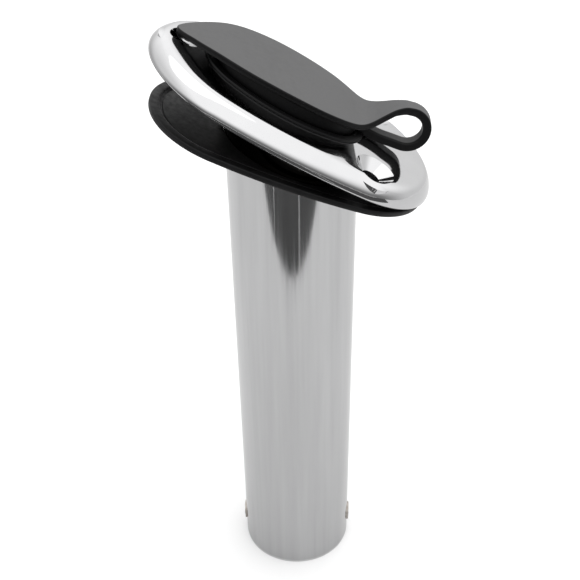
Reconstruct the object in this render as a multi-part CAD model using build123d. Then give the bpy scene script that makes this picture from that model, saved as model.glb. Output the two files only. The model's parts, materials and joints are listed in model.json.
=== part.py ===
from build123d import *
import os
from math import cos, radians, sin, tan

# Flush-mount fishing rod holder: an upright stainless tube under a tilted, domed oval
# flange, with a loose gasket, a plastic insert and a strapped rubber cap.
#
# Frame: +Z is the tube's axis, the origin is the centre of the tube's open foot, and the
# flange's low end points to +X. Flange features are drawn in the flange's own plane: u
# runs along it towards its low end, v across it (+Y) and n out of its top. Millimetres.

# ---- driving dimensions ----------------------------------------------------------------
TILT = 30.0                  # flange plane against the horizontal, degrees
SEAT_HEIGHT = 225.0          # tube foot to the flange's underside, on the tube's axis

TUBE_R = 25.4                # 2 inch tube
TUBE_WALL = 1.5
LINER_BORE_R = 19.05         # 1 1/2 inch rod socket
LINER_R = 23.75
LINER_FOOT = 24.0            # lower end of the insert, above the gimbal pin
LEAD_IN_R = 19.4             # relieved upper end of the socket
LEAD_IN_FOOT = 212.0         # where the relief starts, below the cap's plug

FLANGE_HALF_LENGTH = 59.5
FLANGE_HALF_WIDTH = 36.0
FLANGE_END_R = 34.0
FLANGE_CENTRE_U = 1.0
RIM_HEIGHT = 2.3
DOME_HEIGHT = 8.3            # flange thickness at its crown
DOME_WIDTH = 20.0            # how far in from the edge the dome goes on rising
DOME_POWER = 2.6             # how soon it levels out
DOME_INSETS = [0.0, 2.0, 4.5, 8.0, 12.0, 16.0, 19.5]
SHELL = 3.0                  # casting wall over the hollow underside
HOLLOW_INSETS = [4.5, 8.0, 12.0]
SHOULDER_N = 3.4             # tube and insert end under this level

MOUTH_CENTRE_U = -6.5
MOUTH_HALF_LENGTH = 31.5
MOUTH_HALF_WIDTH = 20.6
MOUTH_END_R = 17.5
MOUTH_OVERRUN = 0.2          # how far the mouth's cut runs past the metal above and below
BORE_END_SHARE = 0.88        # end radius of the bore's four-arc section, against the bore's
COLLAR_WALL = 1.5
COLLAR_LIP = 1.6
COLLAR_LIP_HEIGHT = 0.9

SCREW_SPOTS = [(-48.0, 0.0), (31.5, -23.5), (31.5, 23.5)]
SCREW_HOLE_R = 3.6           # clearance for a 1/4 inch screw
SINK_R = [7.4, 8.0, 8.0]     # countersink radius where its cone meets the dome
SINK_LEVEL = [7.3, 7.5, 7.5]
SINK_OVERRUN = 3.0           # how far each 90 degree cone is carried up past the dome
BOSS_R = 9.0

WELD_TOP = 2.2               # underside of the flange's socket, inside its hollow
WELD_LEG = 1.7
WELD_FIT = 0.01              # metal faces that a weld joins
SOCKET_FIT = 0.03            # tube in the flange's socket
TUBE_DROP = 0.05             # tube's upper end under the shoulder
LINER_DROP = 0.25            # insert's upper end under the shoulder

PIN_R = 3.2                  # gimbal pin, 1/4 inch bar
PIN_HEIGHT = 10.7
PIN_PROUD = 0.8
PIN_CHAMFER = 0.4
PIN_WELD_WIDTH = 1.3
PIN_WELD_DEPTH = 2.4

GASKET_HANG = 9.1            # degrees that the loose gasket hangs below its seat
GASKET_GAP = 0.35
GASKET_SLIP = 5.2            # how far it has slid towards the low end as it hangs
GASKET_CENTRE_U = -1.0       # its place when it is pressed against the flange
GASKET_HALF_LENGTH = 55.4
GASKET_HALF_WIDTH = 32.6
GASKET_END_R = 30.8
GASKET_THICKNESS = 1.6
GASKET_RIM = 3.8
GASKET_RIM_HEIGHT = 0.8
GASKET_GROOVE = (4.3, 5.2)   # outer and inner edge of the groove beside the rim
GASKET_GROOVE_DEPTH = 0.5
GASKET_HOLE_CENTRE = 0.9
GASKET_HOLE_HALF_LENGTH = 30.6
GASKET_HOLE_HALF_WIDTH = 26.0
GASKET_HOLE_END_R = 23.2
GASKET_SCREW_EASE = 0.2

LID_THICKNESS = 2.4
LID_NECK_U = 24.0            # where the lid passes into the strap
LID_ARCH = [                 # u and n along the top of the lid, from its tip to its neck
    (-52.0, 10.3),
    (-44.0, 12.7),
    (-34.0, 14.8),
    (-20.0, 15.8),
    (-6.0, 16.05),
    (10.0, 15.8),
    (24.0, 15.5),
]
CAP_EDGE = [                 # u and v along one side of the lid and of the strap's flare
    (-52.0, 0.0),
    (-46.0, 7.3),
    (-34.0, 15.5),
    (-16.0, 19.9),
    (0.0, 19.6),
    (13.0, 16.5),
    (20.7, 12.4),
    (28.1, 6.5),
    (33.0, 4.0),
    (38.0, 3.0),
]
CAP_EDGE_TANGENTS = [(0, 1), (1, 0)]
PLUG_CLEARANCE = 0.9
PLUG_BOTTOM = 4.4
PLUG_WALL = 2.4
PLUG_TOE = (-3.9, 20.6, 15.0, 13.2)   # centre, half length, half width and end radius below

STRAP_WIDTH = 6.0
STRAP_THICKNESS = 2.8
LOOP_CENTRE = (39.5, 19.0)   # u, n of the centre of the strap's loop
LOOP_R = 7.2
LOOP_START = -80.0           # degrees round the loop where the lower limb meets it
LOOP_END = 120.0             # and where it leaves for the lid
LIMB_MIDDLE = (29.2, 19.7)   # u, n on the middle of the strap between the loop and the lid
LIMB_END = (23.6, 13.9)
HINGE_ANGLES = [-48.0, 28.0, 104.0]
HINGE_GAP = 0.3
ROOT_RUN = 12.6              # straight run of strap from the loop down to its foot
ROOT_LIFT = 0.05             # strap's foot over the dome
ROOT_FIT = 0.02              # strap's foot round the collar's lip
ROOT_FOOT = [                # u, n over the dome's crown, round the foot's outside
    (23.6, 0.0),
    (29.5, 0.0),
    (30.5, 2.7),
    (28.2, 2.7),
    (27.4, 1.5),
    (23.6, 1.5),
]

SEAT = Plane(
    origin=(0, 0, SEAT_HEIGHT),
    x_dir=(cos(radians(TILT)), 0, -sin(radians(TILT))),
    z_dir=(sin(radians(TILT)), 0, cos(radians(TILT))),
)
SIDE = Plane(origin=SEAT.origin, x_dir=SEAT.x_dir, z_dir=-SEAT.y_dir)
STRETCH = 1 / cos(radians(TILT))
TALL = 60.0                  # longer than any cut near the flange needs
PAST = 1.0                   # how far a through cut runs out of the metal


# ---- drawing in the flange's plane -----------------------------------------------------
def level(n):
    """The plane parallel to the flange's underside at height n."""
    return SEAT.offset(n)


def axis_u(n):
    """Where the tube's axis crosses level n."""
    return -n * tan(radians(TILT))


def oval(centre_u, half_length, half_width, end_r):
    """Closed outline of two end arcs and two long side arcs, all tangent."""
    reach = half_length - end_r
    side_r = (reach**2 + half_width**2 - end_r**2) / (2 * (half_width - end_r))
    joint = end_r / (side_r - end_r)
    corner_u = reach * (1 + joint)
    corner_v = joint * (side_r - half_width)
    tip = centre_u + half_length
    tail = centre_u - half_length
    right = centre_u + corner_u
    left = centre_u - corner_u
    edges = [
        ThreePointArc((right, -corner_v), (tip, 0), (right, corner_v)),
        ThreePointArc((right, corner_v), (centre_u, half_width), (left, corner_v)),
        ThreePointArc((left, corner_v), (tail, 0), (left, -corner_v)),
        ThreePointArc((left, -corner_v), (centre_u, -half_width), (right, -corner_v)),
    ]
    return make_face(edges)


def flange_oval(inset):
    """The flange's outline, drawn in from its edge by inset."""
    return oval(
        FLANGE_CENTRE_U,
        FLANGE_HALF_LENGTH - inset,
        FLANGE_HALF_WIDTH - inset,
        FLANGE_END_R - inset,
    )


def mouth_oval(grow):
    """The mouth's outline at the crown, widened all round by grow."""
    return oval(
        MOUTH_CENTRE_U,
        MOUTH_HALF_LENGTH + grow,
        MOUTH_HALF_WIDTH + grow,
        MOUTH_END_R + grow,
    )


def bore_oval(radius, n):
    """The slanted bore's outline as four arcs, to loft to the mouth."""
    return oval(axis_u(n), radius * STRETCH, radius, radius * BORE_END_SHARE)


def at(face, n):
    """A flat face drawn in u and v, put at level n."""
    return level(n) * face


def slab(face, low, high):
    """The face raised from level low to level high."""
    return extrude(at(face, low), amount=high - low)


def layer(low, high):
    """Everything near the flange between two levels."""
    return slab(Rectangle(4 * TALL, 4 * TALL), low, high)


def post(centre_u, centre_v, radius, low, high):
    """A round post square to the flange."""
    return slab(Pos(centre_u, centre_v) * Circle(radius), low, high)


def upright(radius, low_z, high_z):
    """A round bar along the tube's axis."""
    return Pos(0, 0, low_z) * extrude(Circle(radius), amount=high_z - low_z)


def upright_at_flange(radius):
    """A round bar along the tube's axis that runs right through the flange."""
    return upright(radius, SEAT_HEIGHT - TALL, SEAT_HEIGHT + TALL)


def funnel(low_face, low, high_face, high):
    """A solid that changes from one outline to another between two levels."""
    return loft([at(low_face, low), at(high_face, high)])


def side_slab(face, width):
    """A shape drawn in u and n, given a width across v, centred on v = 0."""
    return extrude(SIDE * face, amount=width / 2, both=True)


# ---- holder: flange, tube, welds, pin and insert ---------------------------------------
def dome_level(inset):
    """Height of the domed top at a distance in from the flange's edge."""
    rise = 1 - (1 - inset / DOME_WIDTH) ** DOME_POWER
    return RIM_HEIGHT + (DOME_HEIGHT - RIM_HEIGHT) * rise


def flange_hollow():
    """The space under the casting, round its screw bosses and the tube's socket."""
    roof = [at(flange_oval(inset + SHELL), dome_level(inset) - SHELL) for inset in HOLLOW_INSETS]
    first = HOLLOW_INSETS[0]
    hollow = loft(roof) + slab(flange_oval(first + SHELL), -PAST, dome_level(first) - SHELL)
    for u, v in SCREW_SPOTS:
        hollow = hollow - post(u, v, BOSS_R, -2 * PAST, TALL)
    socket = upright_at_flange(TUBE_R + SHELL) - layer(-TALL, WELD_TOP)
    return hollow - socket - slab(mouth_oval(SHELL), WELD_TOP, TALL)


def countersink(u, v, sink_r, sink_n):
    """A screw's hole with the 90 degree cone for its head."""
    cone = loft([
        at(Pos(u, v) * Circle(SCREW_HOLE_R), sink_n - sink_r + SCREW_HOLE_R),
        at(Pos(u, v) * Circle(sink_r + SINK_OVERRUN), sink_n + SINK_OVERRUN),
    ])
    return post(u, v, SCREW_HOLE_R, -PAST, TALL) + cone


def make_flange():
    dome = loft([at(flange_oval(inset), dome_level(inset)) for inset in DOME_INSETS])
    flange = slab(flange_oval(0), 0, RIM_HEIGHT) + dome - flange_hollow()
    flange = flange - (upright_at_flange(TUBE_R + SOCKET_FIT) & layer(-TALL, SHOULDER_N))
    low = SHOULDER_N - MOUTH_OVERRUN
    high = DOME_HEIGHT + MOUTH_OVERRUN
    flange = flange - funnel(bore_oval(LEAD_IN_R + COLLAR_WALL, low), low, mouth_oval(0), high)
    for (u, v), sink_r, sink_n in zip(SCREW_SPOTS, SINK_R, SINK_LEVEL):
        flange = flange - countersink(u, v, sink_r, sink_n)
    return flange


def make_tube():
    top = SEAT_HEIGHT + TALL
    tube = upright(TUBE_R, 0, top) - upright(TUBE_R - TUBE_WALL, -PAST, top)
    return tube - layer(SHOULDER_N - TUBE_DROP, 3 * TALL) - pin_bar()


def make_flange_weld():
    ring = upright_at_flange(TUBE_R + WELD_LEG) - upright_at_flange(TUBE_R + WELD_FIT)
    return ring & layer(WELD_TOP - WELD_LEG, WELD_TOP)


def pin_bar():
    bar = Rot(0, 90, 0) * Cylinder(PIN_R, 2 * (TUBE_R + PIN_PROUD))
    return Pos(0, 0, PIN_HEIGHT) * bar


def make_gimbal_pin():
    pin = pin_bar()
    return chamfer(pin.edges().filter_by(GeomType.CIRCLE), PIN_CHAMFER)


def make_pin_welds():
    """The two rings of weld that close the tube's wall round the pin."""
    around = upright(TUBE_R + PIN_PROUD, 0, 2 * PIN_HEIGHT)
    around = around - upright(TUBE_R + WELD_FIT, 0, 2 * PIN_HEIGHT)
    ring = Cylinder(PIN_R + PIN_WELD_WIDTH, PIN_WELD_DEPTH) - Cylinder(PIN_R + WELD_FIT, TUBE_R)
    solids = []
    for side in (-1, 1):
        weld = (Pos(side * TUBE_R, 0, PIN_HEIGHT) * Rot(0, 90, 0) * ring) & around
        solids.extend(weld.solids())
    return Compound(children=solids)


def make_liner():
    top = SEAT_HEIGHT + TALL
    liner = upright(LINER_R, LINER_FOOT, top) - upright(LINER_BORE_R, 0, top)
    liner = liner - upright(LEAD_IN_R, LEAD_IN_FOOT, top)
    return liner - layer(SHOULDER_N - LINER_DROP, 3 * TALL)


# ---- cap: collar, strap, lid and plug --------------------------------------------------
def make_mouth_collar():
    low = SHOULDER_N - MOUTH_OVERRUN
    high = DOME_HEIGHT + MOUTH_OVERRUN
    top = DOME_HEIGHT + COLLAR_LIP_HEIGHT
    outer = funnel(bore_oval(LEAD_IN_R + COLLAR_WALL, low), low, mouth_oval(0), high)
    outer = outer & layer(low, DOME_HEIGHT)
    lip = slab(mouth_oval(COLLAR_LIP), DOME_HEIGHT, top)
    foot = low - MOUTH_OVERRUN
    inner = funnel(bore_oval(LEAD_IN_R, foot), foot, mouth_oval(-COLLAR_WALL), top + MOUTH_OVERRUN)
    return (outer + lip) - inner


def loop_point(angle, radius=LOOP_R):
    """A point in u and n at an angle round the strap's loop."""
    centre_u, centre_n = LOOP_CENTRE
    return (centre_u + radius * cos(radians(angle)), centre_n + radius * sin(radians(angle)))


HINGES = [loop_point(angle) for angle in HINGE_ANGLES]


def loop_ring(start, stop):
    """The part of the strap's loop between two angles round its centre."""
    outer = LOOP_R + STRAP_THICKNESS / 2
    inner = LOOP_R - STRAP_THICKNESS / 2
    middle = (start + stop) / 2
    edges = [
        ThreePointArc(loop_point(start, outer), loop_point(middle, outer), loop_point(stop, outer)),
        Line(loop_point(stop, outer), loop_point(stop, inner)),
        ThreePointArc(loop_point(stop, inner), loop_point(middle, inner), loop_point(start, inner)),
        Line(loop_point(start, inner), loop_point(start, outer)),
    ]
    return make_face(edges)


def limb(angle, side, length):
    """A straight run of strap that leaves the loop along its tangent at an angle."""
    turn = radians(angle + 90 * side)
    near_in = loop_point(angle, LOOP_R - STRAP_THICKNESS / 2)
    near_out = loop_point(angle, LOOP_R + STRAP_THICKNESS / 2)
    run_u = length * cos(turn)
    run_n = length * sin(turn)
    far_out = (near_out[0] + run_u, near_out[1] + run_n)
    far_in = (near_in[0] + run_u, near_in[1] + run_n)
    return make_face(Polyline(near_in, near_out, far_out, far_in, close=True))


def knuckle(hinge):
    """Round end of the link on the root's side of a hinge line."""
    return Pos(*hinge) * Circle(STRAP_THICKNESS / 2)


def clear_of(hinge):
    """Room that the next link leaves round that round end."""
    return Pos(*hinge) * Circle(STRAP_THICKNESS / 2 + HINGE_GAP)


def make_strap_root():
    base = DOME_HEIGHT + ROOT_LIFT
    foot = make_face(Polyline(*[(u, base + n) for u, n in ROOT_FOOT], close=True))
    run = limb(LOOP_START, -1, ROOT_RUN)
    profile = foot + run + loop_ring(LOOP_START, HINGE_ANGLES[0]) + knuckle(HINGES[0])
    root = side_slab(profile, STRAP_WIDTH)
    lip = slab(mouth_oval(COLLAR_LIP + ROOT_FIT), base - PAST, DOME_HEIGHT + COLLAR_LIP_HEIGHT)
    return root - layer(-TALL, base) - lip


def make_link(first, second):
    """The strap between two hinge lines, round the loop."""
    profile = loop_ring(HINGE_ANGLES[first], HINGE_ANGLES[second]) + knuckle(HINGES[second])
    return side_slab(profile - clear_of(HINGES[first]), STRAP_WIDTH)


def cap_edge():
    """The cap's outline on one side, from the lid's tip to the plain strap."""
    return Spline(*CAP_EDGE, tangents=CAP_EDGE_TANGENTS)


def cap_prism(low_u, high_u):
    """Everything over the flange inside the cap's outline, between two places along it."""
    near = cap_edge()
    side_end = CAP_EDGE[-1]
    far_end = (side_end[0], -side_end[1])
    out_u = LOOP_CENTRE[0] + 2 * LOOP_R
    tail = Polyline(side_end, (out_u, side_end[1]), (out_u, far_end[1]), far_end)
    outline = make_face([near, tail, mirror(near, about=Plane.XZ)])
    middle = Pos((low_u + high_u) / 2, 0) * Rectangle(high_u - low_u, 2 * TALL)
    return slab(outline & middle, PAST, TALL)


def make_strap_end():
    run = trace(ThreePointArc(loop_point(LOOP_END), LIMB_MIDDLE, LIMB_END), STRAP_THICKNESS)
    profile = loop_ring(HINGE_ANGLES[2], LOOP_END) + run
    strap = side_slab(profile - clear_of(HINGES[2]), TALL)
    return strap & cap_prism(LID_NECK_U, TALL)


def lid_band(low_drop, high_drop):
    """A band that follows the lid's arch, between two drops below the lid's top."""
    upper = [(u, n - high_drop) for u, n in LID_ARCH]
    lower = [(u, n - low_drop) for u, n in reversed(LID_ARCH)]
    edges = [Spline(*upper), Line(upper[-1], lower[0]), Spline(*lower), Line(lower[-1], upper[0])]
    return side_slab(make_face(edges), 2 * TALL)


def make_lid_plate():
    return lid_band(LID_THICKNESS, 0) & cap_prism(-TALL, LID_NECK_U)


def plug_oval(inset):
    """The plug's outline inside the collar."""
    return mouth_oval(-COLLAR_WALL - PLUG_CLEARANCE - inset)


def plug_toe(inset):
    """The plug's smaller outline at its bottom."""
    centre_u, half_length, half_width, end_r = PLUG_TOE
    return oval(centre_u, half_length - inset, half_width - inset, end_r - inset)


def plug_body(inset, low, high):
    """The plug's outside, or its hollow, from its tapered toe up to level high."""
    brow = DOME_HEIGHT + COLLAR_LIP_HEIGHT
    return funnel(plug_toe(inset), low, plug_oval(inset), brow) + slab(plug_oval(inset), brow, high)


def make_lid_plug():
    top = max(n for u, n in LID_ARCH)
    cup = plug_body(0, PLUG_BOTTOM, top) - plug_body(PLUG_WALL, PLUG_BOTTOM - PAST, top + PAST)
    return cup & lid_band(TALL / 2, LID_THICKNESS)


# ---- gasket ----------------------------------------------------------------------------
def gasket_oval(inset):
    """The gasket's outline, drawn in from its edge by inset."""
    return oval(
        GASKET_CENTRE_U,
        GASKET_HALF_LENGTH - inset,
        GASKET_HALF_WIDTH - inset,
        GASKET_END_R - inset,
    )


def gasket_pivot():
    """The u and n that the gasket turns about as it rises along the tube to its seat.

    Its two planes meet under the flange's low tip, and the pivot stands over that line on
    the bisector of their normals, so far up that the gasket slides back by its slip.
    """
    half_turn = radians(GASKET_HANG / 2)
    rise = GASKET_SLIP / (2 * tan(half_turn))
    tip_u = FLANGE_CENTRE_U + FLANGE_HALF_LENGTH
    return (tip_u - rise * tan(half_turn), rise - GASKET_GAP)


def make_gasket():
    top = -GASKET_GAP
    face = top - GASKET_RIM_HEIGHT
    bottom = face - GASKET_THICKNESS
    sheet = slab(gasket_oval(0), bottom, face)
    rim = slab(gasket_oval(0), face, top) - slab(gasket_oval(GASKET_RIM), face - PAST, top + PAST)
    hole = oval(GASKET_HOLE_CENTRE, GASKET_HOLE_HALF_LENGTH, GASKET_HOLE_HALF_WIDTH, GASKET_HOLE_END_R)
    gasket = sheet + rim - slab(hole, bottom - PAST, top + PAST)
    groove_out, groove_in = GASKET_GROOVE
    groove = gasket_oval(groove_out) - gasket_oval(groove_in)
    gasket = gasket - slab(groove, face - GASKET_GROOVE_DEPTH, face + PAST)
    for u, v in SCREW_SPOTS:
        hole_r = SCREW_HOLE_R + GASKET_SCREW_EASE
        gasket = gasket - post(u, v, hole_r, bottom - PAST, top + PAST)
    pivot_u, pivot_n = gasket_pivot()
    pivot = level(pivot_n).location * Pos(pivot_u, 0, 0)
    hang = Rot(0, -GASKET_HANG, 0)
    return pivot * hang * pivot.inverse() * gasket


# ---- write each piece, and print where the hinge lines are -----------------------------
PARTS = {
    "flange": make_flange,
    "tube": make_tube,
    "flange_weld": make_flange_weld,
    "gimbal_pin": make_gimbal_pin,
    "pin_welds": make_pin_welds,
    "liner": make_liner,
    "mouth_collar": make_mouth_collar,
    "strap_root": make_strap_root,
    "strap_link_outer": lambda: make_link(0, 1),
    "strap_link_upper": lambda: make_link(1, 2),
    "strap_end": make_strap_end,
    "lid_plate": make_lid_plate,
    "lid_plug": make_lid_plug,
    "gasket": make_gasket,
}

os.makedirs("parts", exist_ok=True)
for name, make in PARTS.items():
    shape = make()
    export_step(shape, f"parts/{name}.step")
    print(name, len(shape.solids()), "solids", round(shape.volume, 1), "mm3")

for name, (hinge_u, hinge_n) in zip(("low", "outer", "upper"), HINGES):
    point = SEAT.from_local_coords((hinge_u, 0, hinge_n))
    print("strap hinge", name, [round(value, 3) for value in point])
pivot_u, pivot_n = gasket_pivot()
pivot_point = SEAT.from_local_coords((pivot_u, 0, pivot_n))
print("gasket pivot", [round(value, 3) for value in pivot_point])
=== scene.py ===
import bpy
import bmesh
import json
from math import atan2, ceil, copysign, cos, hypot, pi, radians, sin, sqrt, tan
from mathutils import Matrix, Vector


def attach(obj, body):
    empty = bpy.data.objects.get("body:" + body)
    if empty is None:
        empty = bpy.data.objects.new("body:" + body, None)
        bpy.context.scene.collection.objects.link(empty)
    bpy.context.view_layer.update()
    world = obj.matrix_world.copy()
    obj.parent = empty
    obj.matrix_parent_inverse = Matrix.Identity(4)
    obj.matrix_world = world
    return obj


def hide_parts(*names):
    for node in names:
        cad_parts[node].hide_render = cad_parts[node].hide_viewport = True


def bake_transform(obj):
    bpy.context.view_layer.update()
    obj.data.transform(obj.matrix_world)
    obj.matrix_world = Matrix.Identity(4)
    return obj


# Flush-mount fishing rod holder. Flange features are drawn in the flange's own plane, in
# millimetres: u runs along it towards its low end, v across it and n out of its top.

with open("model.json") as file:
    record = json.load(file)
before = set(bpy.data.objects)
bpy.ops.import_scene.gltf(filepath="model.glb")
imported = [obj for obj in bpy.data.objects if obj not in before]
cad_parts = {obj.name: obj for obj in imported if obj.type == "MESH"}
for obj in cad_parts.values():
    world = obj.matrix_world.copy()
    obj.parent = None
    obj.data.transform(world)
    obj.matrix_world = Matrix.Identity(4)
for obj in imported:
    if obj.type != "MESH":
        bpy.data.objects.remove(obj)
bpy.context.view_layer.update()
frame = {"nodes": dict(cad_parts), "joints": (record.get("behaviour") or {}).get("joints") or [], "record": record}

MM = 0.001
JOINTS = {joint["name"]: joint for joint in frame["joints"]}
MOUNTS = {mount["name"]: mount for mount in frame["record"]["mounts"]}

# ---- the flange's plane, from the record's screw hole ----------------------------------
NORMAL = Vector(MOUNTS["screw_hole_high"]["axis"]).normalized()
ACROSS = Vector((0, 1, 0))
ALONG = ACROSS.cross(NORMAL)
HIGH_SCREW_U = -48.0
HIGH_SCREW_N = 1.7
SEAT = (
    Vector(MOUNTS["screw_hole_high"]["pos_m"])
    - ALONG * HIGH_SCREW_U * MM
    - NORMAL * HIGH_SCREW_N * MM
)
TILT_TAN = NORMAL.x / NORMAL.z
STRETCH = 1 / NORMAL.z


def place(u, v, n):
    return SEAT + (ALONG * u + ACROSS * v + NORMAL * n) * MM


def plane_coordinates(point):
    away = (point - SEAT) / MM
    return away.dot(ALONG), away.dot(ACROSS), away.dot(NORMAL)


def faded(share):
    """A smooth step from 0 to 1 as share goes from 0 to 1."""
    share = min(max(share, 0), 1)
    return share * share * (3 - 2 * share)


# ---- ovals of four arcs, sampled at shared normal angles ---------------------------------
def sample_angles():
    coarse = 1.5
    fine = 0.5
    near_side = 15.0
    angles = []
    degrees = 0.0
    while degrees < 360 - fine / 2:
        angles.append(radians(degrees))
        off_side = abs(degrees % 180 - 90)
        degrees += fine if off_side < near_side else coarse
    return angles


ANGLES = sample_angles()


def oval_arcs(shape):
    centre, half_length, half_width, end_r = shape
    reach = half_length - end_r
    side_r = (reach**2 + half_width**2 - end_r**2) / (2 * (half_width - end_r))
    return centre, reach, side_r, side_r - half_width, end_r


def oval_point(shape, angle):
    centre, reach, side_r, depth, end_r = oval_arcs(shape)
    c = cos(angle)
    s = sin(angle)
    if atan2(abs(s), abs(c)) < atan2(depth, reach):
        return centre + copysign(reach, c) + end_r * c, end_r * s
    return centre + side_r * c, side_r * s - copysign(depth, s)


def oval_inset(shape, u, v):
    """How far a point lies inside the oval."""
    centre, reach, side_r, depth, end_r = oval_arcs(shape)
    x = abs(u - centre)
    y = abs(v)
    if x * depth > (y + depth) * reach:
        return end_r - hypot(x - reach, y)
    return side_r - hypot(x, y + depth)


def grown(shape, by):
    centre, half_length, half_width, end_r = shape
    return centre, half_length + by, half_width + by, end_r + by


def oval_ring(shape, n):
    return [(*oval_point(shape, angle), n) for angle in ANGLES]


def bore_ring(radius, n):
    """The slanted section of an upright round bore at height n."""
    ring = []
    for angle in ANGLES:
        a = radius * STRETCH * cos(angle)
        b = radius * sin(angle)
        size = hypot(a, b)
        ring.append((a * radius * STRETCH / size - n * TILT_TAN, b * radius / size, n))
    return ring


def mixed(ring_a, ring_b, share):
    """The ring that lies the given share of the way from ring a to ring b."""
    return [
        tuple(x + (y - x) * share for x, y in zip(a, b))
        for a, b in zip(ring_a, ring_b)
    ]


# ---- meshes ------------------------------------------------------------------------------
def new_object(name, mesh):
    piece = bpy.data.objects.new(name, mesh)
    bpy.context.scene.collection.objects.link(piece)
    return piece


def clean_mesh(mesh):
    bm = bmesh.new()
    bm.from_mesh(mesh)
    bmesh.ops.remove_doubles(bm, verts=bm.verts, dist=0.000002)
    bmesh.ops.dissolve_degenerate(bm, edges=bm.edges, dist=0.0000005)
    bmesh.ops.recalc_face_normals(bm, faces=bm.faces)
    bm.to_mesh(mesh)
    bm.free()
    mesh.update()


def skin_faces(count, pairs):
    """Quads between pairs of rings of count points each."""
    faces = []
    for low, high in pairs:
        for k in range(count):
            m = (k + 1) % count
            faces.append((low * count + k, low * count + m, high * count + m, high * count + k))
    return faces


def neighbours(rings):
    return [(i, i + 1) for i in range(len(rings) - 1)]


def ring_mesh(name, rings, wrap=True):
    """A skin through closed rings of u, v, n points; the last joins the first if wrap."""
    count = len(rings[0])
    verts = [place(*point) for ring in rings for point in ring]
    pairs = neighbours(rings)
    if wrap:
        pairs.append((len(rings) - 1, 0))
    faces = skin_faces(count, pairs)
    if not wrap:
        faces.append(tuple(range(count)))
        faces.append(tuple(range((len(rings) - 1) * count, len(rings) * count)))
    mesh = bpy.data.meshes.new(name)
    mesh.from_pydata([tuple(v) for v in verts], [], faces)
    clean_mesh(mesh)
    return new_object(name, mesh)


def shade(piece, angle=35):
    piece.data.polygons.foreach_set("use_smooth", [True] * len(piece.data.polygons))
    piece.data.set_sharp_from_angle(angle=radians(angle))


def turned(name, profile, segments=96):
    """A solid turned about n from (radius, n) points, at the plane's origin."""
    rings = []
    for radius, n in profile:
        rings.append([
            (radius * cos(2 * pi * k / segments), radius * sin(2 * pi * k / segments), n)
            for k in range(segments)
        ])
    return ring_mesh(name, rings, wrap=False)


def settle(piece):
    """Applies the piece's modifiers."""
    graph = bpy.context.evaluated_depsgraph_get()
    graph.update()
    mesh = bpy.data.meshes.new_from_object(piece.evaluated_get(graph))
    piece.modifiers.clear()
    piece.data = mesh


def combine(piece, tools, operation):
    for tool in tools:
        step = piece.modifiers.new(operation, "BOOLEAN")
        step.operation = operation
        step.solver = "EXACT"
        step.object = tool
        bpy.context.view_layer.update()
        settle(piece)
    for tool in tools:
        mesh = tool.data
        bpy.data.objects.remove(tool)
        bpy.data.meshes.remove(mesh)


# ---- materials ---------------------------------------------------------------------------
# Painted shade: the near-black colour the tube is painted above the gasket, in the gap under the flange.
GAP_SHADE_COLOUR = (0.036, 0.033, 0.03, 1)
GASKET_FACE = -1.15           # top of the gasket's floor, with the gasket lifted to the flange
GASKET_HANG = JOINTS["gasket_hang"]["range_deg"][1]


class Material:
    """A node material on one Principled shader, with short calls for its usual detail."""

    def __init__(self, name, colour, metal, rough, specular=0.5):
        self.material = bpy.data.materials.new(name)
        self.material.use_nodes = True
        self.nodes = self.material.node_tree.nodes
        self.links = self.material.node_tree.links
        self.shader = self.nodes["Principled BSDF"]
        self.colour = colour
        self.shader.inputs["Base Color"].default_value = (*colour, 1)
        self.shader.inputs["Metallic"].default_value = metal
        self.shader.inputs["Roughness"].default_value = rough
        self.shader.inputs["Specular IOR Level"].default_value = specular
        self.place = self.nodes.new("ShaderNodeTexCoord").outputs["Object"]

    def noise(self, scale, stretch=(1, 1, 1), detail=4.0, rough=0.55):
        mapping = self.nodes.new("ShaderNodeMapping")
        mapping.inputs["Scale"].default_value = stretch
        self.links.new(self.place, mapping.inputs["Vector"])
        noise = self.nodes.new("ShaderNodeTexNoise")
        noise.inputs["Scale"].default_value = scale
        noise.inputs["Detail"].default_value = detail
        noise.inputs["Roughness"].default_value = rough
        self.links.new(mapping.outputs["Vector"], noise.inputs["Vector"])
        return noise.outputs["Fac"]

    def map_range(self, value, low, high, from_low=0.3, from_high=0.7):
        node = self.nodes.new("ShaderNodeMapRange")
        node.inputs["From Min"].default_value = from_low
        node.inputs["From Max"].default_value = from_high
        node.inputs["To Min"].default_value = low
        node.inputs["To Max"].default_value = high
        self.links.new(value, node.inputs["Value"])
        return node.outputs["Result"]

    def vary_colour(self, value, other):
        mix = self.nodes.new("ShaderNodeMix")
        mix.data_type = "RGBA"
        mix.inputs["A"].default_value = (*self.colour, 1)
        mix.inputs["B"].default_value = (*other, 1)
        self.links.new(value, mix.inputs["Factor"])
        self.links.new(mix.outputs["Result"], self.shader.inputs["Base Color"])

    def vary_rough(self, value):
        self.links.new(value, self.shader.inputs["Roughness"])

    def bump(self, value, distance, strength=1.0):
        node = self.nodes.new("ShaderNodeBump")
        node.inputs["Distance"].default_value = distance
        node.inputs["Strength"].default_value = strength
        self.links.new(value, node.inputs["Height"])
        previous = self.shader.inputs["Normal"]
        if previous.is_linked:
            self.links.new(previous.links[0].from_socket, node.inputs["Normal"])
        self.links.new(node.outputs["Normal"], previous)

    def attribute(self, name):
        node = self.nodes.new("ShaderNodeAttribute")
        node.attribute_name = name
        return node.outputs["Fac"]


def flange_polish():
    m = Material("flange_polish", (0.62, 0.62, 0.625), 1.0, 0.06)
    m.vary_rough(m.map_range(m.noise(140, detail=5), 0.03, 0.085))
    m.vary_colour(m.map_range(m.noise(60, detail=3), 0, 1), (0.585, 0.585, 0.592))
    m.bump(m.noise(45, detail=2), 0.00002, 0.35)
    return m.material


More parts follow.
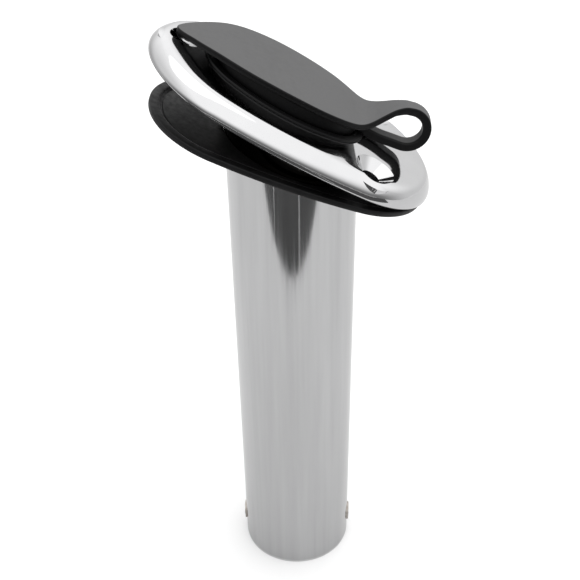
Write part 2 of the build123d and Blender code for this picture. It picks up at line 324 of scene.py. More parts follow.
def paint_gap_shade(m, normal, low, high):
    """Paints shade on the metal in the gap under the flange, darkening it from low to high along the normal."""
    along = m.nodes.new("ShaderNodeVectorMath")
    along.operation = "DOT_PRODUCT"
    along.inputs[1].default_value = normal
    m.links.new(m.place, along.inputs[0])
    share = m.map_range(along.outputs["Value"], 0, 1, low, high)
    colour = m.shader.inputs["Base Color"]
    mix = m.nodes.new("ShaderNodeMix")
    mix.data_type = "RGBA"
    mix.inputs["B"].default_value = GAP_SHADE_COLOUR
    m.links.new(colour.links[0].from_socket, mix.inputs["A"])
    m.links.new(share, mix.inputs["Factor"])
    m.links.new(mix.outputs["Result"], colour)


def tube_satin():
    m = Material("tube_satin", (0.56, 0.56, 0.565), 1.0, 0.1)
    m.vary_rough(m.map_range(m.noise(900, (1, 1, 0.02), 3), 0.06, 0.13))
    m.vary_colour(m.map_range(m.noise(260, (1, 1, 0.03), 4), 0, 1), (0.5, 0.5, 0.505))
    m.bump(m.noise(1500, (1, 1, 0.02), 2), 0.00001, 0.5)
    # Painted shade: the tube above the gasket's floor is painted near black, standing in for the shade in the gap
    # under the flange.
    tilt = atan2(NORMAL.x, NORMAL.z) - radians(GASKET_HANG)
    slant = Vector((sin(tilt), 0, cos(tilt)))
    pivot = Vector(JOINTS["gasket_hang"]["pos_m"])
    level = pivot.dot(slant) + (GASKET_FACE - plane_coordinates(pivot)[2]) * MM
    paint_gap_shade(m, slant, level - 1.3 * MM, level - 0.8 * MM)
    return m.material


def flange_inside():
    """The dark cast metal that polishing doesn't reach, painted darker still as shade under the flange and in its
    holes.
    """
    m = Material("flange_inside", (0.07, 0.07, 0.072), 1.0, 0.5)
    m.vary_rough(m.map_range(m.noise(300, detail=4), 0.42, 0.62))
    m.vary_colour(m.map_range(m.noise(120, detail=4), 0, 1), (0.04, 0.04, 0.042))
    m.bump(m.noise(650, detail=4), 0.0003, 0.6)
    return m.material


def weld_metal():
    m = Material("weld", (0.5, 0.48, 0.45), 1.0, 0.35)
    m.vary_colour(m.map_range(m.noise(320, detail=3), 0, 1), (0.34, 0.3, 0.27))
    m.vary_rough(m.map_range(m.noise(900), 0.25, 0.5))
    m.bump(m.noise(700, detail=2), 0.0003, 0.6)
    return m.material


def pin_steel():
    m = Material("pin_steel", (0.42, 0.42, 0.43), 1.0, 0.3)
    m.vary_rough(m.map_range(m.noise(1200, (0.1, 1, 1), 3), 0.22, 0.4))
    m.vary_colour(m.map_range(m.noise(500, detail=3), 0, 1), (0.3, 0.3, 0.31))
    m.bump(m.noise(2200, detail=2), 0.00005, 0.4)
    return m.material


def liner_plastic():
    m = Material("liner_plastic", (0.02, 0.02, 0.021), 0.0, 0.4)
    m.vary_rough(m.map_range(m.noise(800, (1, 1, 0.05), 3), 0.32, 0.5))
    m.vary_colour(m.map_range(m.noise(300, detail=3), 0, 1), (0.03, 0.03, 0.031))
    m.bump(m.noise(1400, (1, 1, 0.05), 2), 0.00003, 0.5)
    return m.material


def gasket_rubber():
    m = Material("gasket_rubber", (0.003, 0.003, 0.0033), 0.0, 0.5, 0.22)
    m.vary_rough(m.map_range(m.noise(500, detail=5), 0.36, 0.58))
    m.vary_colour(m.map_range(m.noise(90, detail=4), 0, 1), (0.009, 0.009, 0.0096))
    m.bump(m.noise(2600, detail=2), 0.00006, 0.5)
    return m.material


def cap_rubber(name):
    """Black rubber, with painted grey light on the faces that look up."""
    m = Material(name, (0.0035, 0.0035, 0.0038), 0.0, 0.48, 0.2)
    grain = m.map_range(m.noise(420, detail=6, rough=0.65), 0.94, 1.04)
    scuff = m.map_range(m.noise(38, (1, 0.6, 1), 5), 0.96, 1.04)
    product = m.nodes.new("ShaderNodeMath")
    product.operation = "MULTIPLY"
    m.links.new(grain, product.inputs[0])
    m.links.new(scuff, product.inputs[1])
    painted_light = m.nodes.new("ShaderNodeMath")
    painted_light.operation = "MULTIPLY"
    m.links.new(product.outputs["Value"], painted_light.inputs[0])
    m.links.new(m.attribute("painted_light"), painted_light.inputs[1])
    # Painted light: the rubber turns grey where the vertex attribute marks faces that look up.
    m.vary_colour(painted_light.outputs["Value"], (0.124, 0.124, 0.125))
    m.vary_rough(m.map_range(m.attribute("painted_light"), 0.45, 0.85, 0, 1))
    m.bump(m.noise(2400, detail=3), 0.00006, 0.5)
    return m.material


FLANGE_POLISH = flange_polish()
FLANGE_INSIDE = flange_inside()
TUBE_SATIN = tube_satin()
WELD = weld_metal()
PIN_STEEL = pin_steel()
LINER_PLASTIC = liner_plastic()
GASKET_RUBBER = gasket_rubber()
CAP_RUBBER = cap_rubber("cap_rubber")
LID_FACE = cap_rubber("lid_face")


def dress(piece, material):
    piece.data.materials.clear()
    piece.data.materials.append(material)


# ---- flange ------------------------------------------------------------------------------
# Ovals are centre u, half length, half width and end radius.
FLANGE = (1.0, 59.5, 36.0, 34.0)
FOOT_EDGE = [(0.45, 0.0), (0.13, 0.13), (0.0, 0.45)]    # inset and height up the lower edge
RIM_HEIGHT = 2.3
RIM_FOOT = 0.9                # where the upright side passes into the rim's bend
RIM_INSET = 2.0               # where the rim's bend passes into the dome
DOME_HEIGHT = 8.15
DOME_WIDTH = 10.5             # how far in from the edge the dome goes on rising
DOME_POWER = 2.7              # how soon it levels out
FLATTENED_WIDTH = 4.6         # how far past the rim polishing takes to flatten the dome
FLATTENED = 0.96              # share of the dome's slope that it takes away
SHELL = 3.0                   # casting wall over the hollow underside
WALL_INSET = 7.5              # inside of the flange's outer wall
SHOULDER_N = 3.4              # the tube's end comes up to this level
WELD_TOP = 2.2
TUBE_R = 25.4
TUBE_FIT = 0.03
LEAD_IN_R = 19.4
MOUTH = (-6.5, 31.5, 20.6, 17.5)
COLLAR_WALL = 1.5
COLLAR_LIP = 1.6
COLLAR_LIP_HEIGHT = 0.9
# Each screw is u, v, and the radius and level of its countersink's edge.
SCREWS = [(-48.0, 0.0, 5.9, 8.0), (31.5, -23.5, 8.1, 8.15), (31.5, 23.5, 8.1, 8.15)]
SINK_DEPTH = 3.6
SCREW_HOLE_R = 3.6
BOSS_R = 9.0


def dome_level(inset):
    inset = min(inset, DOME_WIDTH)
    return RIM_HEIGHT + (DOME_HEIGHT - RIM_HEIGHT) * (1 - (1 - inset / DOME_WIDTH) ** DOME_POWER)


def dome_at(u, v):
    return dome_level(oval_inset(FLANGE, u, v))


def on_dome(ring):
    return [(u, v, dome_at(u, v)) for u, v, n in ring]


def rim_point(t):
    """A point of inset and height on the rim's bend, tangent to the side and the dome."""
    top = dome_level(RIM_INSET)
    step = 0.001
    slope = (dome_level(RIM_INSET + step) - top) / step
    corner = top - slope * RIM_INSET
    a = (1 - t) ** 2
    b = 2 * t * (1 - t)
    c = t * t
    return c * RIM_INSET, a * RIM_FOOT + b * corner + c * top


def flange_rings():
    rings = [oval_ring(grown(FLANGE, -inset), n) for inset, n in FOOT_EDGE]
    steps = 10
    for k in range(steps + 1):
        inset, n = rim_point(k / steps)
        rings.append(oval_ring(grown(FLANGE, -inset), n))
    inset = RIM_INSET
    while inset < DOME_WIDTH + 0.3:
        inset += 0.4 + 0.07 * inset
        rings.append(oval_ring(grown(FLANGE, -inset), dome_level(inset)))
    edge = oval_ring(grown(FLANGE, -inset), 0)
    brim = oval_ring(grown(MOUTH, 0.35), 0)
    spans = 8
    for k in range(1, spans + 1):
        rings.append(on_dome(mixed(edge, brim, k / spans)))
    lip = oval_ring(grown(MOUTH, 0.02), DOME_HEIGHT - 0.45)
    rings.append(mixed(on_dome(brim), lip, 0.5))
    rings.append(lip)
    foot = bore_ring(LEAD_IN_R + COLLAR_WALL, SHOULDER_N)
    for share in (0.35, 0.7, 1.0):
        rings.append(mixed(lip, foot, share))
    rings.append(bore_ring(TUBE_R + TUBE_FIT, SHOULDER_N))
    rings.append(bore_ring(TUBE_R + TUBE_FIT, WELD_TOP))
    rings.append(bore_ring(TUBE_R + SHELL, WELD_TOP))
    rings.append(bore_ring(TUBE_R + SHELL, DOME_HEIGHT - SHELL))
    wall = oval_ring(grown(FLANGE, -WALL_INSET), dome_level(WALL_INSET - SHELL) - SHELL)
    rings.append(mixed(rings[-1], wall, 0.5))
    rings.append(wall)
    rings.append(oval_ring(grown(FLANGE, -WALL_INSET), 0.0))
    return rings


def post(name, u, v, profile):
    """A turned solid that stands at u, v."""
    piece = turned(name, profile)
    piece.data.transform(Matrix.Translation((ALONG * u + ACROSS * v) * MM))
    return piece


def is_unpolished_and_shaded(polygon):
    """Whether a face of the flange is under it, in its hollow or in a screw's hole, where the unpolished metal is
    painted dark as shade.
    """
    u, v, n = plane_coordinates(polygon.center)
    facing = polygon.normal.dot(NORMAL)
    from_screw = min(hypot(u - x, v - y) for x, y, sink_r, sink_n in SCREWS)
    if from_screw < SCREW_HOLE_R + 0.05:
        return True
    seat = n < 0.1
    if facing < (-0.5 if seat else -0.3):
        return True
    inside_wall = oval_inset(FLANGE, u, v) > WALL_INSET - 0.2 and from_screw > BOSS_R - 0.1
    return inside_wall and n < SHOULDER_N + 0.1 and abs(facing) < 0.98


def make_flange():
    piece = ring_mesh("flange_casting", flange_rings())
    bosses = []
    sinks = []
    for u, v, sink_r, sink_n in SCREWS:
        top = dome_at(u, v) - 1.2
        boss = [(BOSS_R, 0.0), (BOSS_R, top - 1.5), (BOSS_R / 2, top)]
        bosses.append(post("boss", u, v, boss))
        neck = sink_n - SINK_DEPTH
        sinks.append(post("sink", u, v, [
            (SCREW_HOLE_R, -1.0),
            (SCREW_HOLE_R, neck),
            (sink_r - 0.15, sink_n - 0.25),
            (sink_r + 0.15, sink_n + 0.1),
            (sink_r + 0.9, sink_n + 1.0),
            (sink_r + 0.9, sink_n + 4.0),
        ]))
    combine(piece, bosses, "UNION")
    combine(piece, sinks, "DIFFERENCE")
    shade(piece)
    polish_normals(piece)
    dress(piece, FLANGE_POLISH)
    piece.data.materials.append(FLANGE_INSIDE)
    # Painted shade: faces under the flange, in its hollow and in the screw holes get the dark unpolished metal.
    for polygon in piece.data.polygons:
        if is_unpolished_and_shaded(polygon):
            polygon.material_index = 1
    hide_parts("flange")
    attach(piece, "holder")


def dome_normal(u, v):
    """The polished dome's normal; polishing has left its top flatter than the cast shape."""
    reach = 0.05
    kept = 1 - FLATTENED * faded((oval_inset(FLANGE, u, v) - RIM_INSET) / FLATTENED_WIDTH)
    slope_u = (dome_at(u + reach, v) - dome_at(u - reach, v)) / (2 * reach)
    slope_v = (dome_at(u, v + reach) - dome_at(u, v - reach)) / (2 * reach)
    return (NORMAL - (ALONG * slope_u + ACROSS * slope_v) * kept).normalized()


def on_polished_dome(u, v, n):
    return oval_inset(FLANGE, u, v) >= RIM_INSET + 0.02 and abs(dome_at(u, v) - n) <= 0.03


def polish_normals(piece):
    """Gives the dome's faces the polished dome's normals, so that it reflects cleanly."""
    mesh = piece.data
    normals = [Vector(item.vector) for item in mesh.corner_normals]
    cache = {}
    for polygon in mesh.polygons:
        if polygon.normal.dot(NORMAL) < 0.5:
            continue
        corners = [plane_coordinates(mesh.vertices[i].co) for i in polygon.vertices]
        if not all(on_polished_dome(*corner) for corner in corners):
            continue
        for loop in polygon.loop_indices:
            vertex = mesh.loops[loop].vertex_index
            if vertex not in cache:
                u, v, n = plane_coordinates(mesh.vertices[vertex].co)
                cache[vertex] = dome_normal(u, v)
            normals[loop] = cache[vertex]
    mesh.normals_split_custom_set([tuple(normal) for normal in normals])


# ---- collar, plug and gasket ---------------------------------------------------------------
def leave_unlit(piece):
    """Marks the whole piece as free of the painted grey light on the rubber."""
    attribute = piece.data.attributes.new("painted_light", "FLOAT", "POINT")
    attribute.data.foreach_set("value", [0.0] * len(piece.data.vertices))


def make_collar():
    lip = COLLAR_LIP
    top = DOME_HEIGHT + COLLAR_LIP_HEIGHT
    rings = [
        oval_ring(grown(MOUTH, lip - 0.12), DOME_HEIGHT),
        oval_ring(grown(MOUTH, lip), DOME_HEIGHT + 0.15),
        oval_ring(grown(MOUTH, lip - 0.04), top - 0.35),
        oval_ring(grown(MOUTH, lip - 0.25), top - 0.09),
        oval_ring(grown(MOUTH, lip - 0.6), top),
        oval_ring(grown(MOUTH, -COLLAR_WALL + 0.7), top),
        oval_ring(grown(MOUTH, -COLLAR_WALL + 0.25), top - 0.1),
        oval_ring(grown(MOUTH, -COLLAR_WALL), top - 0.5),
    ]
    inner = rings[-1]
    foot = bore_ring(LEAD_IN_R, SHOULDER_N - 0.4)
    rings += [mixed(inner, foot, share) for share in (0.3, 0.6, 0.9, 1.0)]
    foot = bore_ring(LEAD_IN_R + COLLAR_WALL - 0.03, SHOULDER_N - 0.2)
    under = oval_ring(grown(MOUTH, -0.03), DOME_HEIGHT - 0.02)
    rings += [mixed(foot, under, share) for share in (0.0, 0.35, 0.7, 1.0)]
    piece = ring_mesh("collar_lip", rings)
    shade(piece)
    leave_unlit(piece)
    dress(piece, CAP_RUBBER)
    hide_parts("mouth_collar")
    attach(piece, "holder")


PLUG_TOE = (-3.9, 20.6, 15.0, 13.2)
PLUG_CLEARANCE = 0.9
PLUG_BOTTOM = 4.4
PLUG_WALL = 2.4


def under_lid(ring, lift):
    """The ring moved to the lid's underside, and lift above it."""
    return [(u, v, lid_level(u) - LID_THICKNESS + lift) for u, v, n in ring]


def make_plug():
    brow = DOME_HEIGHT + COLLAR_LIP_HEIGHT
    shoulder = grown(MOUTH, -COLLAR_WALL - PLUG_CLEARANCE)
    toe = PLUG_TOE
    rings = [
        oval_ring(grown(toe, -0.9), PLUG_BOTTOM),
        oval_ring(grown(toe, -0.35), PLUG_BOTTOM + 0.15),
        oval_ring(toe, PLUG_BOTTOM + 0.6),
    ]
    low = rings[-1]
    high = oval_ring(grown(shoulder, -0.1), brow - 0.8)
    rings += [mixed(low, high, share) for share in (0.25, 0.5, 0.75, 1.0)]
    rings += [
        oval_ring(shoulder, brow - 0.2),
        oval_ring(grown(shoulder, 0.12), brow + 0.6),
        oval_ring(shoulder, brow + 1.4),
    ]
    rings.append(under_lid(oval_ring(grown(shoulder, 0.1), 0), -0.55))
    rings.append(under_lid(oval_ring(grown(shoulder, 0.75), 0), 0.1))
    hollow = grown(shoulder, -PLUG_WALL)
    rings.append(under_lid(oval_ring(grown(hollow, -0.7), 0), 0.1))
    rings.append(under_lid(oval_ring(hollow, 0), -0.6))
    low = oval_ring(grown(toe, -PLUG_WALL), PLUG_BOTTOM + 0.5)
    high = oval_ring(hollow, brow)
    rings += [mixed(high, low, share) for share in (0.0, 0.35, 0.7, 1.0)]
    rings.append(oval_ring(grown(toe, -PLUG_WALL + 0.5), PLUG_BOTTOM))
    piece = ring_mesh("plug_skirt", rings)
    shade(piece)
    leave_unlit(piece)
    dress(piece, CAP_RUBBER)
    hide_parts("lid_plug")
    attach(piece, "lid")


GASKET = (-1.0, 55.4, 32.6, 30.8)
GASKET_TOP = -0.35
GASKET_BOTTOM = -2.75
GASKET_BAND = [                # inset from the edge and height, over the rim and groove
    (0.5, GASKET_BOTTOM),
    (0.15, GASKET_BOTTOM + 0.12),
    (0.0, GASKET_BOTTOM + 0.5),
    (0.0, GASKET_TOP - 0.55),
    (0.08, GASKET_TOP - 0.3),
    (0.28, GASKET_TOP - 0.08),
    (0.6, GASKET_TOP),
    (3.1, GASKET_TOP),
    (3.5, GASKET_TOP - 0.08),
    (3.72, GASKET_TOP - 0.3),
    (3.8, GASKET_FACE + 0.12),
    (3.95, GASKET_FACE),
    (4.2, GASKET_FACE - 0.05),
    (4.35, GASKET_FACE - 0.2),
    (4.5, GASKET_FACE - 0.45),
    (4.75, GASKET_FACE - 0.5),
    (5.0, GASKET_FACE - 0.45),
    (5.15, GASKET_FACE - 0.2),
    (5.3, GASKET_FACE - 0.03),
    (5.6, GASKET_FACE),
]


def snug_ring(gap, n):
    """The gasket's hole: close round the tube's high side as it hangs, clear of its low side."""
    hang = radians(GASKET_HANG)
    tilt = atan2(NORMAL.x, NORMAL.z) - hang
    pivot_u, _, pivot_n = plane_coordinates(Vector(JOINTS["gasket_hang"]["pos_m"]))
    foot_u = pivot_u - pivot_u * cos(hang) - pivot_n * sin(hang)
    foot_n = pivot_n + pivot_u * sin(hang) - pivot_n * cos(hang)
    hanging = (foot_u - (n - foot_n) * tan(tilt), (TUBE_R + gap) / cos(tilt))
    lifted = (-n * TILT_TAN, (TUBE_R + gap) * STRETCH)
    b = TUBE_R + gap
    ring = []
    for angle in ANGLES:
        centre, a = lifted if cos(angle) > 0 else hanging
        size = hypot(a * cos(angle), b * sin(angle))
        ring.append((centre + a * a * cos(angle) / size, b * b * sin(angle) / size, n))
    return ring


def make_gasket():
    rings = [oval_ring(grown(GASKET, -inset), n) for inset, n in GASKET_BAND]
    floor = rings[-1]
    brink = snug_ring(0.25, GASKET_FACE)
    rings += [mixed(floor, brink, share) for share in (0.3, 0.65, 1.0)]
    rings.append(snug_ring(0.1, GASKET_FACE - 0.15))
    rings.append(snug_ring(0.1, GASKET_BOTTOM + 0.15))
    under = snug_ring(0.25, GASKET_BOTTOM)
    rings.append(under)
    rings.append(mixed(under, rings[0], 0.5))
    piece = ring_mesh("gasket_moulding", rings)
    pivot = Vector(JOINTS["gasket_hang"]["pos_m"])
    hang = Matrix.Rotation(radians(-GASKET_HANG), 4, "Y")
    piece.data.transform(Matrix.Translation(pivot) @ hang @ Matrix.Translation(-pivot))
    shade(piece)
    dress(piece, GASKET_RUBBER)
    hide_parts("gasket")
    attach(piece, "gasket")


# ---- lid and strap: one sheet, cut at the neck and between the strap's hinges --------------
LID_THICKNESS = 2.4
STRAP_THICKNESS = 3.3
LID_ARCH = [                   # u and n along the top of the lid
    (-52.0, 10.3),
    (-44.0, 12.7),
    (-34.0, 14.8),
    (-20.0, 15.8),
    (-6.0, 16.05),
    (10.0, 15.8),
    (18.0, 15.45),
    (26.0, 15.4),
]
TIP_U = -52.0
HALF_WIDTHS = [                # u and half width, from the lid's tip to the even strap
    (-52.0, 0.0),
    (-50.6, 3.2),
    (-48.3, 5.6),
    (-46.0, 7.5),
    (-43.0, 9.9),
    (-40.0, 12.0),
    (-36.0, 14.4),
    (-31.0, 16.7),
    (-25.0, 18.5),
    (-18.0, 19.6),
    (-11.0, 20.0),
    (-4.0, 19.8),
    (3.0, 19.1),
    (9.0, 17.9),
    (14.0, 16.1),
    (18.2, 14.0),
    (21.7, 11.8),
    (25.0, 9.2),
    (28.1, 6.7),
    (31.5, 4.6),
    (35.0, 3.5),
    (39.5, 3.0),
]
LIMB = [                       # outside of the strap from the lid up to the loop
    (12.0, 15.72),
    (16.0, 15.5),
    (20.0, 15.45),
    (23.0, 16.15),
    (25.4, 17.9),
    (28.1, 20.7),
    (31.0, 23.8),
    (34.2, 26.2),
]
LOOP_CENTRE = (39.6, 18.75)
LOOP_R = 8.85
LOOP_START = 103.0             # degrees round the loop where it leaves the upper limb
LOOP_END = -80.0               # and where it passes into the lower one
LOOP_STEP = 5.0
LID_STEPS = 62
FOOT_LIMB = [                  # outside of the strap from the loop down to its foot
    (37.0, 9.4),
    (33.0, 8.75),
    (29.0, 8.5),
    (26.0, 8.5),
    (23.4, 8.6),
]
STATION = 0.75                 # space between the sheet's sections
INSIDE_PAINTED_LIGHT = 0.5             # how much painted light greys the loop's inside, against the lid's top
NECK = (33.2, 25.5)            # where the lid's piece ends and the strap's begins
HINGE_DEGREES = {"low": -48.0, "outer": 28.0, "upper": 104.0}    # round the loop


def curve_value(points, x):
    """A smooth curve through points, read at x."""
    last = len(points) - 1
    i = 0
    while i < last - 1 and x > points[i + 1][0]:
        i += 1

    def slope(k):
        low = max(k - 1, 0)
        high = min(k + 1, last)
        return (points[high][1] - points[low][1]) / (points[high][0] - points[low][0])

    (x0, y0), (x1, y1) = points[i], points[i + 1]
    span = x1 - x0
    t = min(max((x - x0) / span, 0), 1)
    a = 2 * t**3 - 3 * t**2 + 1
    b = t**3 - 2 * t**2 + t
    c = 3 * t**2 - 2 * t**3
    d = t**3 - t**2
    return a * y0 + b * span * slope(i) + c * y1 + d * span * slope(i + 1)


def lid_level(u):
    return curve_value(LID_ARCH, u)


WIDTHS_BY_ROOT = [(sqrt(u - TIP_U), w) for u, w in HALF_WIDTHS]


def half_width(u):
    return curve_value(WIDTHS_BY_ROOT, sqrt(max(u - TIP_U, 0)))


def spline_value(p, q, r, s, t):
    """Catmull-Rom spline from q to r, at t."""
    squared = 2 * p - 5 * q + 4 * r - s
    cubed = 3 * q - p - 3 * r + s
    return 0.5 * (2 * q + (r - p) * t + squared * t**2 + cubed * t**3)


def smooth_path(points):
    """Points along a curve through the given ones."""
    path = []
    for i in range(len(points) - 1):
        before = points[max(i - 1, 0)]
        a, b = points[i], points[i + 1]
        after = points[min(i + 2, len(points) - 1)]
        count = max(2, ceil(hypot(b[0] - a[0], b[1] - a[1]) / STATION))
        for k in range(count):
            t = k / count
            path.append(tuple(
                spline_value(p, q, r, s, t) for p, q, r, s in zip(before, a, b, after)
            ))
    path.append(points[-1])
    return path


def loop_outside(degrees):
    return (
        LOOP_CENTRE[0] + LOOP_R * cos(radians(degrees)),
        LOOP_CENTRE[1] + LOOP_R * sin(radians(degrees)),
    )


def sheet_spine():
    """The sheet's outside, from the lid's tip round the loop to the strap's foot."""
    spine = []
    for k in range(LID_STEPS):
        u = TIP_U + (LIMB[0][0] - TIP_U) * (k / LID_STEPS) ** 2
        spine.append((u, lid_level(u)))
    spine += smooth_path(LIMB + [loop_outside(LOOP_START + 8), loop_outside(LOOP_START)])
    degrees = LOOP_START - LOOP_STEP
    while degrees > LOOP_END:
        spine.append(loop_outside(degrees))
        degrees -= LOOP_STEP
    spine += smooth_path([loop_outside(LOOP_END)] + FOOT_LIMB)
    return spine


def sheet_edge(thick):
    """The sheet's rounded edge as inset and drop, from its outside to its inside."""
    return [
        (1.1, 0.0),
        (0.5, 0.01),
        (0.3, 0.06),
        (0.12, 0.19),
        (0.03, 0.4),
        (0.0, 0.7),
        (0.0, thick - 0.8),
        (0.1, thick - 0.42),
        (0.36, thick - 0.12),
        (0.8, thick),
    ]


def between(a, b, count):
    return [
        tuple(x + (y - x) * k / count for x, y in zip(a, b))
        for k in range(1, count)
    ]


def sheet_widths(spine):
    """Half widths along the spine; round the loop and below it the strap is even."""
    strap_u, strap_width = HALF_WIDTHS[-1]
    past_crest = False
    widths = []
    for u, n in spine:
        past_crest = past_crest or u > strap_u - 0.5
        widths.append(strap_width if past_crest else half_width(u))
    return widths


def sheet_sections():
    """The spine, and a closed section of (place, painted light) at each of its stations."""
    spine = sheet_spine()
    widths = sheet_widths(spine)
    strap_width = widths[-1]
    sections = []
    last = len(spine) - 1
    for i, (u, n) in enumerate(spine):
        low = max(i - 1, 0)
        high = min(i + 1, last)
        du = spine[high][0] - spine[low][0]
        dn = spine[high][1] - spine[low][1]
        run = hypot(du, dn)
        tangent = (du / run, dn / run)
        out = (-tangent[1], tangent[0])
        slope = hypot(run, widths[high] - widths[low])
        edge_along = -(widths[high] - widths[low]) / slope
        edge_across = run / slope
        flare = min(max((widths[i] - strap_width) / 2.0, 0), 1)
        thick = STRAP_THICKNESS + (LID_THICKNESS - STRAP_THICKNESS) * flare

        def at_edge(inset, drop, side):
            along = -inset * edge_along
            across = side * max(widths[i] - inset * edge_across, 0)
            return (
                u + tangent[0] * along - out[0] * drop,
                across,
                n + tangent[1] * along - out[1] * drop,
            )

        right = [at_edge(inset, drop, 1) for inset, drop in sheet_edge(thick)]
        left = [at_edge(inset, drop, -1) for inset, drop in sheet_edge(thick)]
        # Painted light: faces that look up are painted grey. The sheet's inside gets part strength where it looks
        # up.
        upward = out[0] * ALONG.z + out[1] * NORMAL.z
        lit = faded((upward - 0.05) / 0.6)
        lit_inside = INSIDE_PAINTED_LIGHT * faded((-upward - 0.05) / 0.6)
        lit_along_edge = [lit, lit] + [0.0] * (len(right) - 2)
        ring = [(point, lit) for point in between(left[0], right[0], 10)]
        ring += zip(right, lit_along_edge)
        ring += [(point, lit_inside) for point in between(right[-1], left[-1], 10)]
        ring += reversed(list(zip(left, lit_along_edge)))
        sections.append(ring)
    return spine, sections


def key_of(co):
    return tuple(round(value / MM, 3) for value in co)


def sheet_normals(sections):
    """Normals of the whole sheet, so that its pieces shade as one."""
    count = len(sections[0])
    verts = [place(*point) for ring in sections for point, lit in ring]
    faces = skin_faces(count, neighbours(sections))
    mesh = bpy.data.meshes.new("whole_sheet")
    mesh.from_pydata([tuple(v) for v in verts], [], faces)
    clean_mesh(mesh)
    normals = {key_of(vertex.co): vertex.normal.copy() for vertex in mesh.vertices}
    bpy.data.meshes.remove(mesh)
    return normals


def sheet_piece(name, sections, normals):
    count = len(sections[0])
    verts = []
    lit_at = {}
    for ring in sections:
        for point, lit in ring:
            co = place(*point)
            verts.append(tuple(co))
            lit_at[key_of(co)] = lit
    faces = skin_faces(count, neighbours(sections))
    last = (len(sections) - 1) * count
    first_u = sections[0][0][0][0]
    starts_at_tip = first_u < TIP_U + 1.5
    if not starts_at_tip:
        faces.append(tuple(range(count)))
    faces.append(tuple(range(last, last + count)))
    mesh = bpy.data.meshes.new(name)
    mesh.from_pydata(verts, [], faces)
    clean_mesh(mesh)
    mesh.polygons.foreach_set("use_smooth", [True] * len(mesh.polygons))
    attribute = mesh.attributes.new("painted_light", "FLOAT", "POINT")
    attribute.data.foreach_set("value", [lit_at.get(key_of(v.co), 0.0) for v in mesh.vertices])
    split = []
    for polygon in mesh.polygons:
        for vertex in polygon.vertices:
            normal = normals.get(key_of(mesh.vertices[vertex].co))
            is_cap = len(polygon.vertices) > 4
            if is_cap or normal is None:
                normal = polygon.normal
            elif normal.dot(polygon.normal) < 0:
                normal = -normal
            split.append(tuple(normal))
    mesh.normals_split_custom_set(split)
    return new_object(name, mesh)


def nearest_station(spine, point):
    def distance(i):
        return hypot(spine[i][0] - point[0], spine[i][1] - point[1])

    return min(range(len(spine)), key=distance)


def strap_blend(piece):
    """Bakes the piece's transform into its mesh."""
    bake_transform(piece)


def make_sheet():
    spine, sections = sheet_sections()
    normals = sheet_normals(sections)
    hinge = HINGE_DEGREES
    neck = nearest_station(spine, NECK)
    upper = nearest_station(spine, loop_outside((hinge["upper"] + hinge["outer"]) / 2))
    lower = nearest_station(spine, loop_outside((hinge["outer"] + hinge["low"]) / 2))
    lid = sheet_piece("lid_cover", sections[: neck + 1], normals)
    dress(lid, LID_FACE)
    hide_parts("lid_plate", "strap_end")
    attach(lid, "lid")
    bend_top = sheet_piece("strap_bend_upper", sections[neck: upper + 1], normals)
    bend_side = sheet_piece("strap_bend_outer", sections[upper: lower + 1], normals)
    bend_foot = sheet_piece("strap_bend_low", sections[lower:], normals)
    for piece in (bend_top, bend_side, bend_foot):
        dress(piece, CAP_RUBBER)
    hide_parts("strap_link_upper")
    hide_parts("strap_link_outer")
    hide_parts("strap_root")
    strap_blend(bend_foot)
    strap_blend(bend_side)
    strap_blend(bend_top)


# ---- stage ---------------------------------------------------------------------------------
def make_world():
    """Soft room light: white overhead, light grey behind, dark in front and greyer at one side."""
    world = bpy.data.worlds.new("studio")
    world.use_nodes = True
    nodes = world.node_tree.nodes
    links = world.node_tree.links
    where = nodes.new("ShaderNodeTexCoord").outputs["Generated"]
    split = nodes.new("ShaderNodeSeparateXYZ")
    links.new(where, split.inputs["Vector"])

    def ramp(value, low, high, from_low, from_high):
        node = nodes.new("ShaderNodeMapRange")
        node.interpolation_type = "SMOOTHSTEP"
        node.inputs["From Min"].default_value = from_low
        node.inputs["From Max"].default_value = from_high
        node.inputs["To Min"].default_value = low
        node.inputs["To Max"].default_value = high
        links.new(value, node.inputs["Value"])
        return node

    horizon = ramp(split.outputs["Y"], 0.25, 0.86, -0.6, 0.3)
    rise = ramp(split.outputs["Z"], 0.0, 1.0, 0.05, 0.55)
    mix = nodes.new("ShaderNodeMix")
    mix.inputs["B"].default_value = 1.45
    links.new(rise.outputs["Result"], mix.inputs["Factor"])
    links.new(horizon.outputs["Result"], mix.inputs["A"])
    side = ramp(split.outputs["X"], 0.66, 1.0, -0.8, -0.15)
    product = nodes.new("ShaderNodeMath")
    product.operation = "MULTIPLY"
    links.new(mix.outputs["Result"], product.inputs[0])
    links.new(side.outputs["Result"], product.inputs[1])
    back = nodes["Background"]
    back.inputs["Color"].default_value = (1, 1, 1, 1)
    links.new(product.outputs["Value"], back.inputs["Strength"])
    bpy.context.scene.world = world


def make_light(name, position, target, size, energy):
    data = bpy.data.lights.new(name, "AREA")
    data.shape = "DISK"
    data.size = size
    data.energy = energy
    light = bpy.data.objects.new(name, data)
    light.location = position
    light.rotation_euler = (Vector(target) - Vector(position)).to_track_quat("-Z", "Y").to_euler()
    bpy.context.scene.collection.objects.link(light)
    return light


def make_floor():
    bpy.ops.mesh.primitive_grid_add(size=4, x_subdivisions=8, y_subdivisions=8)
    floor = bpy.context.object
    floor.name = "floor"
    m = Material("floor", (0.96, 0.96, 0.96), 0.0, 0.9, 0.1)
    m.vary_colour(m.map_range(m.noise(6), 0, 1), (0.95, 0.95, 0.95))
    floor.data.materials.append(m.material)


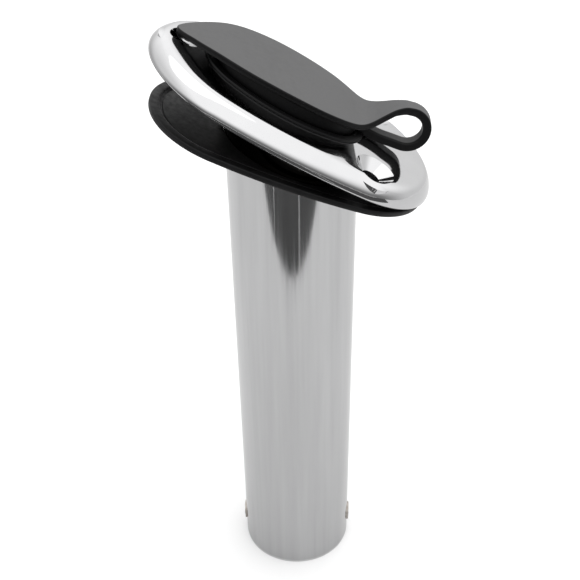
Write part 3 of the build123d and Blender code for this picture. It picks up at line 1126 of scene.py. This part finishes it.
def make_card(name, corners, shade_low, shade_high):
    """A card that only reflections see."""
    mesh = bpy.data.meshes.new(name)
    mesh.from_pydata(corners, [], [(0, 1, 2, 3)])
    card = new_object(name, mesh)
    m = Material(name, (shade_low, shade_low, shade_low), 0.0, 0.9, 0.0)
    m.vary_colour(m.map_range(m.noise(9), 0, 1), (shade_high, shade_high, shade_high))
    card.data.materials.append(m.material)
    card.visible_camera = False
    card.visible_diffuse = False
    card.visible_shadow = False


GREY_CARD_REACH = 1.9
DARK_CARD_NEAR = 0.273        # where the sweep goes dark in front of the tube
DARK_CARD_FAR = 1.6
DARK_CARD_APEX = 0.02         # the strips' sides meet this far in front of the tube's axis
DARK_STRIPS = [(-62, -32.0), (-31.3, 12.6), (13.4, 62)]    # degrees either way from the front


def make_cards():
    """What the metal mirrors of the room: a grey sweep, and dark where it ends in front."""
    reach = GREY_CARD_REACH
    corners = [(x * reach, y * reach, 0.001) for x, y in ((-1, -1), (1, -1), (1, 1), (-1, 1))]
    make_card("grey_card", corners, 0.68, 0.72)
    for low, high in DARK_STRIPS:
        corners = []
        near, far = DARK_CARD_NEAR, DARK_CARD_FAR
        for y, degrees in ((near, low), (near, high), (far, high), (far, low)):
            corners.append(((y - DARK_CARD_APEX) * tan(radians(degrees)), -y, 0.002))
        make_card("dark_card", corners, 0.07, 0.09)


CAMERA_AZIMUTH = radians(2.75)
CAMERA_ELEVATION = radians(39.78)
CAMERA_ROLL = radians(-1.07)
CAMERA_DISTANCE = 0.46177
CAMERA_TARGET = Vector((0, 0, 0.09911))
CAMERA_SIDE = -0.00223
CAMERA_LENS = 63.146
CAMERA_SHIFT = 0.1477


def make_camera():
    back = Vector((
        sin(CAMERA_AZIMUTH) * cos(CAMERA_ELEVATION),
        -cos(CAMERA_AZIMUTH) * cos(CAMERA_ELEVATION),
        sin(CAMERA_ELEVATION),
    ))
    level_right = Vector((cos(CAMERA_AZIMUTH), sin(CAMERA_AZIMUTH), 0))
    level_up = back.cross(level_right)
    right = cos(CAMERA_ROLL) * level_right + sin(CAMERA_ROLL) * level_up
    up = cos(CAMERA_ROLL) * level_up - sin(CAMERA_ROLL) * level_right
    data = bpy.data.cameras.new("camera")
    data.sensor_width = 36
    data.lens = CAMERA_LENS
    data.shift_y = CAMERA_SHIFT
    data.clip_start = 0.01
    camera = bpy.data.objects.new("camera", data)
    spot = CAMERA_TARGET + right * CAMERA_SIDE + back * CAMERA_DISTANCE
    camera.matrix_world = Matrix.Translation(spot) @ Matrix((right, up, back)).transposed().to_4x4()
    bpy.context.scene.collection.objects.link(camera)
    bpy.context.scene.camera = camera


make_flange()
make_collar()
make_plug()
make_gasket()
make_sheet()
dress(frame["nodes"]["tube"], TUBE_SATIN)
dress(frame["nodes"]["flange_weld"], WELD)
dress(frame["nodes"]["pin_welds"], WELD)
dress(frame["nodes"]["gimbal_pin"], PIN_STEEL)
dress(frame["nodes"]["liner"], LINER_PLASTIC)

make_world()
make_light("overhead", (0.1, 0.15, 1.3), (0, 0, 0.1), 1.2, 1.5)
make_floor()
make_cards()
make_camera()
bpy.context.scene.view_settings.view_transform = "Standard"
